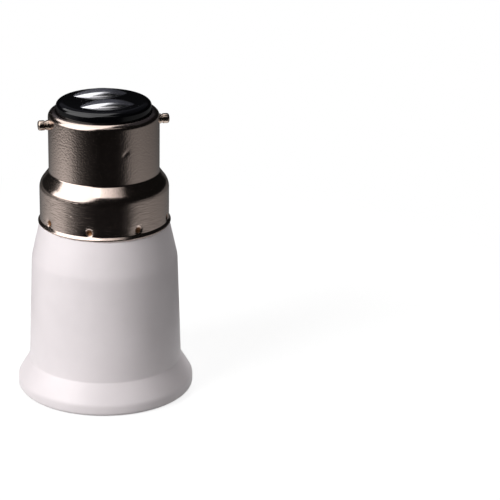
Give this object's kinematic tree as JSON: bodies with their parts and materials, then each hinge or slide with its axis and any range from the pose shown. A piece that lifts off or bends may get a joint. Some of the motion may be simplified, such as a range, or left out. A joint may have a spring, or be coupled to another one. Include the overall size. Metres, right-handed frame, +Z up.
{
  "type": "lamp socket adapter",
  "caption": "Lamp socket adapter: a two-pin bayonet cap of plated metal crimped on a flared white body that holds a rolled screw socket for a bulb.",
  "frame": {"origin": "centre of the mouth rim, on the plane that the adapter stands on", "axes": "+Z up along the common axis of screw socket and bayonet cap, towards the cap's contacts; X along the bayonet pins"},
  "size_m": [0.0356, 0.0356, 0.0613],
  "materials": {
    "white_body": "white moulded thermoplastic with a fine satin skin",
    "shell_aluminium": "bright rolled aluminium sheet",
    "contact_copper": "bare copper, dull and stained round its centre",
    "cap_nickel": "nickel plate on drawn sheet, warm grey, slightly grained",
    "pin_nickel": "nickel plate",
    "black_insulator": "glossy black moulding",
    "contact_tin": "bright plate",
    "lead_copper": "bare copper wire",
    "lead_sleeve": "plain insulating sleeve",
    "solder": "dull soft solder"
  },
  "bodies": {
    "root": {"socket_body": "white_body", "screw_shell": "shell_aluminium", "centre_contact": "contact_copper", "bayonet_cap": "cap_nickel", "bayonet_pin_left": "pin_nickel", "bayonet_pin_right": "pin_nickel", "insulator": "black_insulator", "contact_front": "contact_tin", "contact_rear": "contact_tin", "centre_lead_core": "lead_copper", "centre_lead_sleeve": "lead_sleeve", "shell_lead_core": "lead_copper", "shell_lead_sleeve": "lead_sleeve", "solder_centre_contact": "solder", "solder_screw_shell": "solder", "solder_contact_front": "solder", "solder_contact_rear": "solder"}
  },
  "joints": []
}
